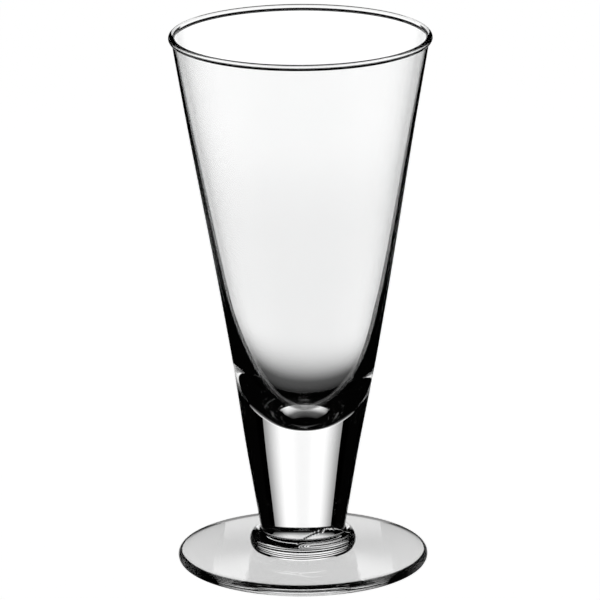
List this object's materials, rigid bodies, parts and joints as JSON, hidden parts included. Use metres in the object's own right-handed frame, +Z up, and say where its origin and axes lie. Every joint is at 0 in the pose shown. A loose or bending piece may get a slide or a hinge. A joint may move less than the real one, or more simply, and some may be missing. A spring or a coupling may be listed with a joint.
{
  "type": "footed pint glass",
  "caption": "Tall clear drinking glass: conical bowl with a rolled rim, tapering into a solid stem, with a folded collar above a round disc foot.",
  "frame": {"origin": "centre of the foot's flat underside, on the surface that the glass stands on", "axes": "+Z up along the axis of the bowl and stem; -Y is the side on which the collar's fold is seen"},
  "size_m": [0.0952, 0.0952, 0.1983],
  "materials": {
    "bowl_glass": "clear, fire-polished soda-lime glass",
    "stem_glass": "clear solid glass, fire-polished",
    "collar_glass": "clear glass with the soft waves and overlap of a hand-laid ring",
    "foot_glass": "clear pressed glass with a fire-polished edge and a ground underside"
  },
  "bodies": {
    "root": {"bowl": "bowl_glass", "stem": "stem_glass", "collar": "collar_glass", "foot": "foot_glass"}
  },
  "joints": []
}
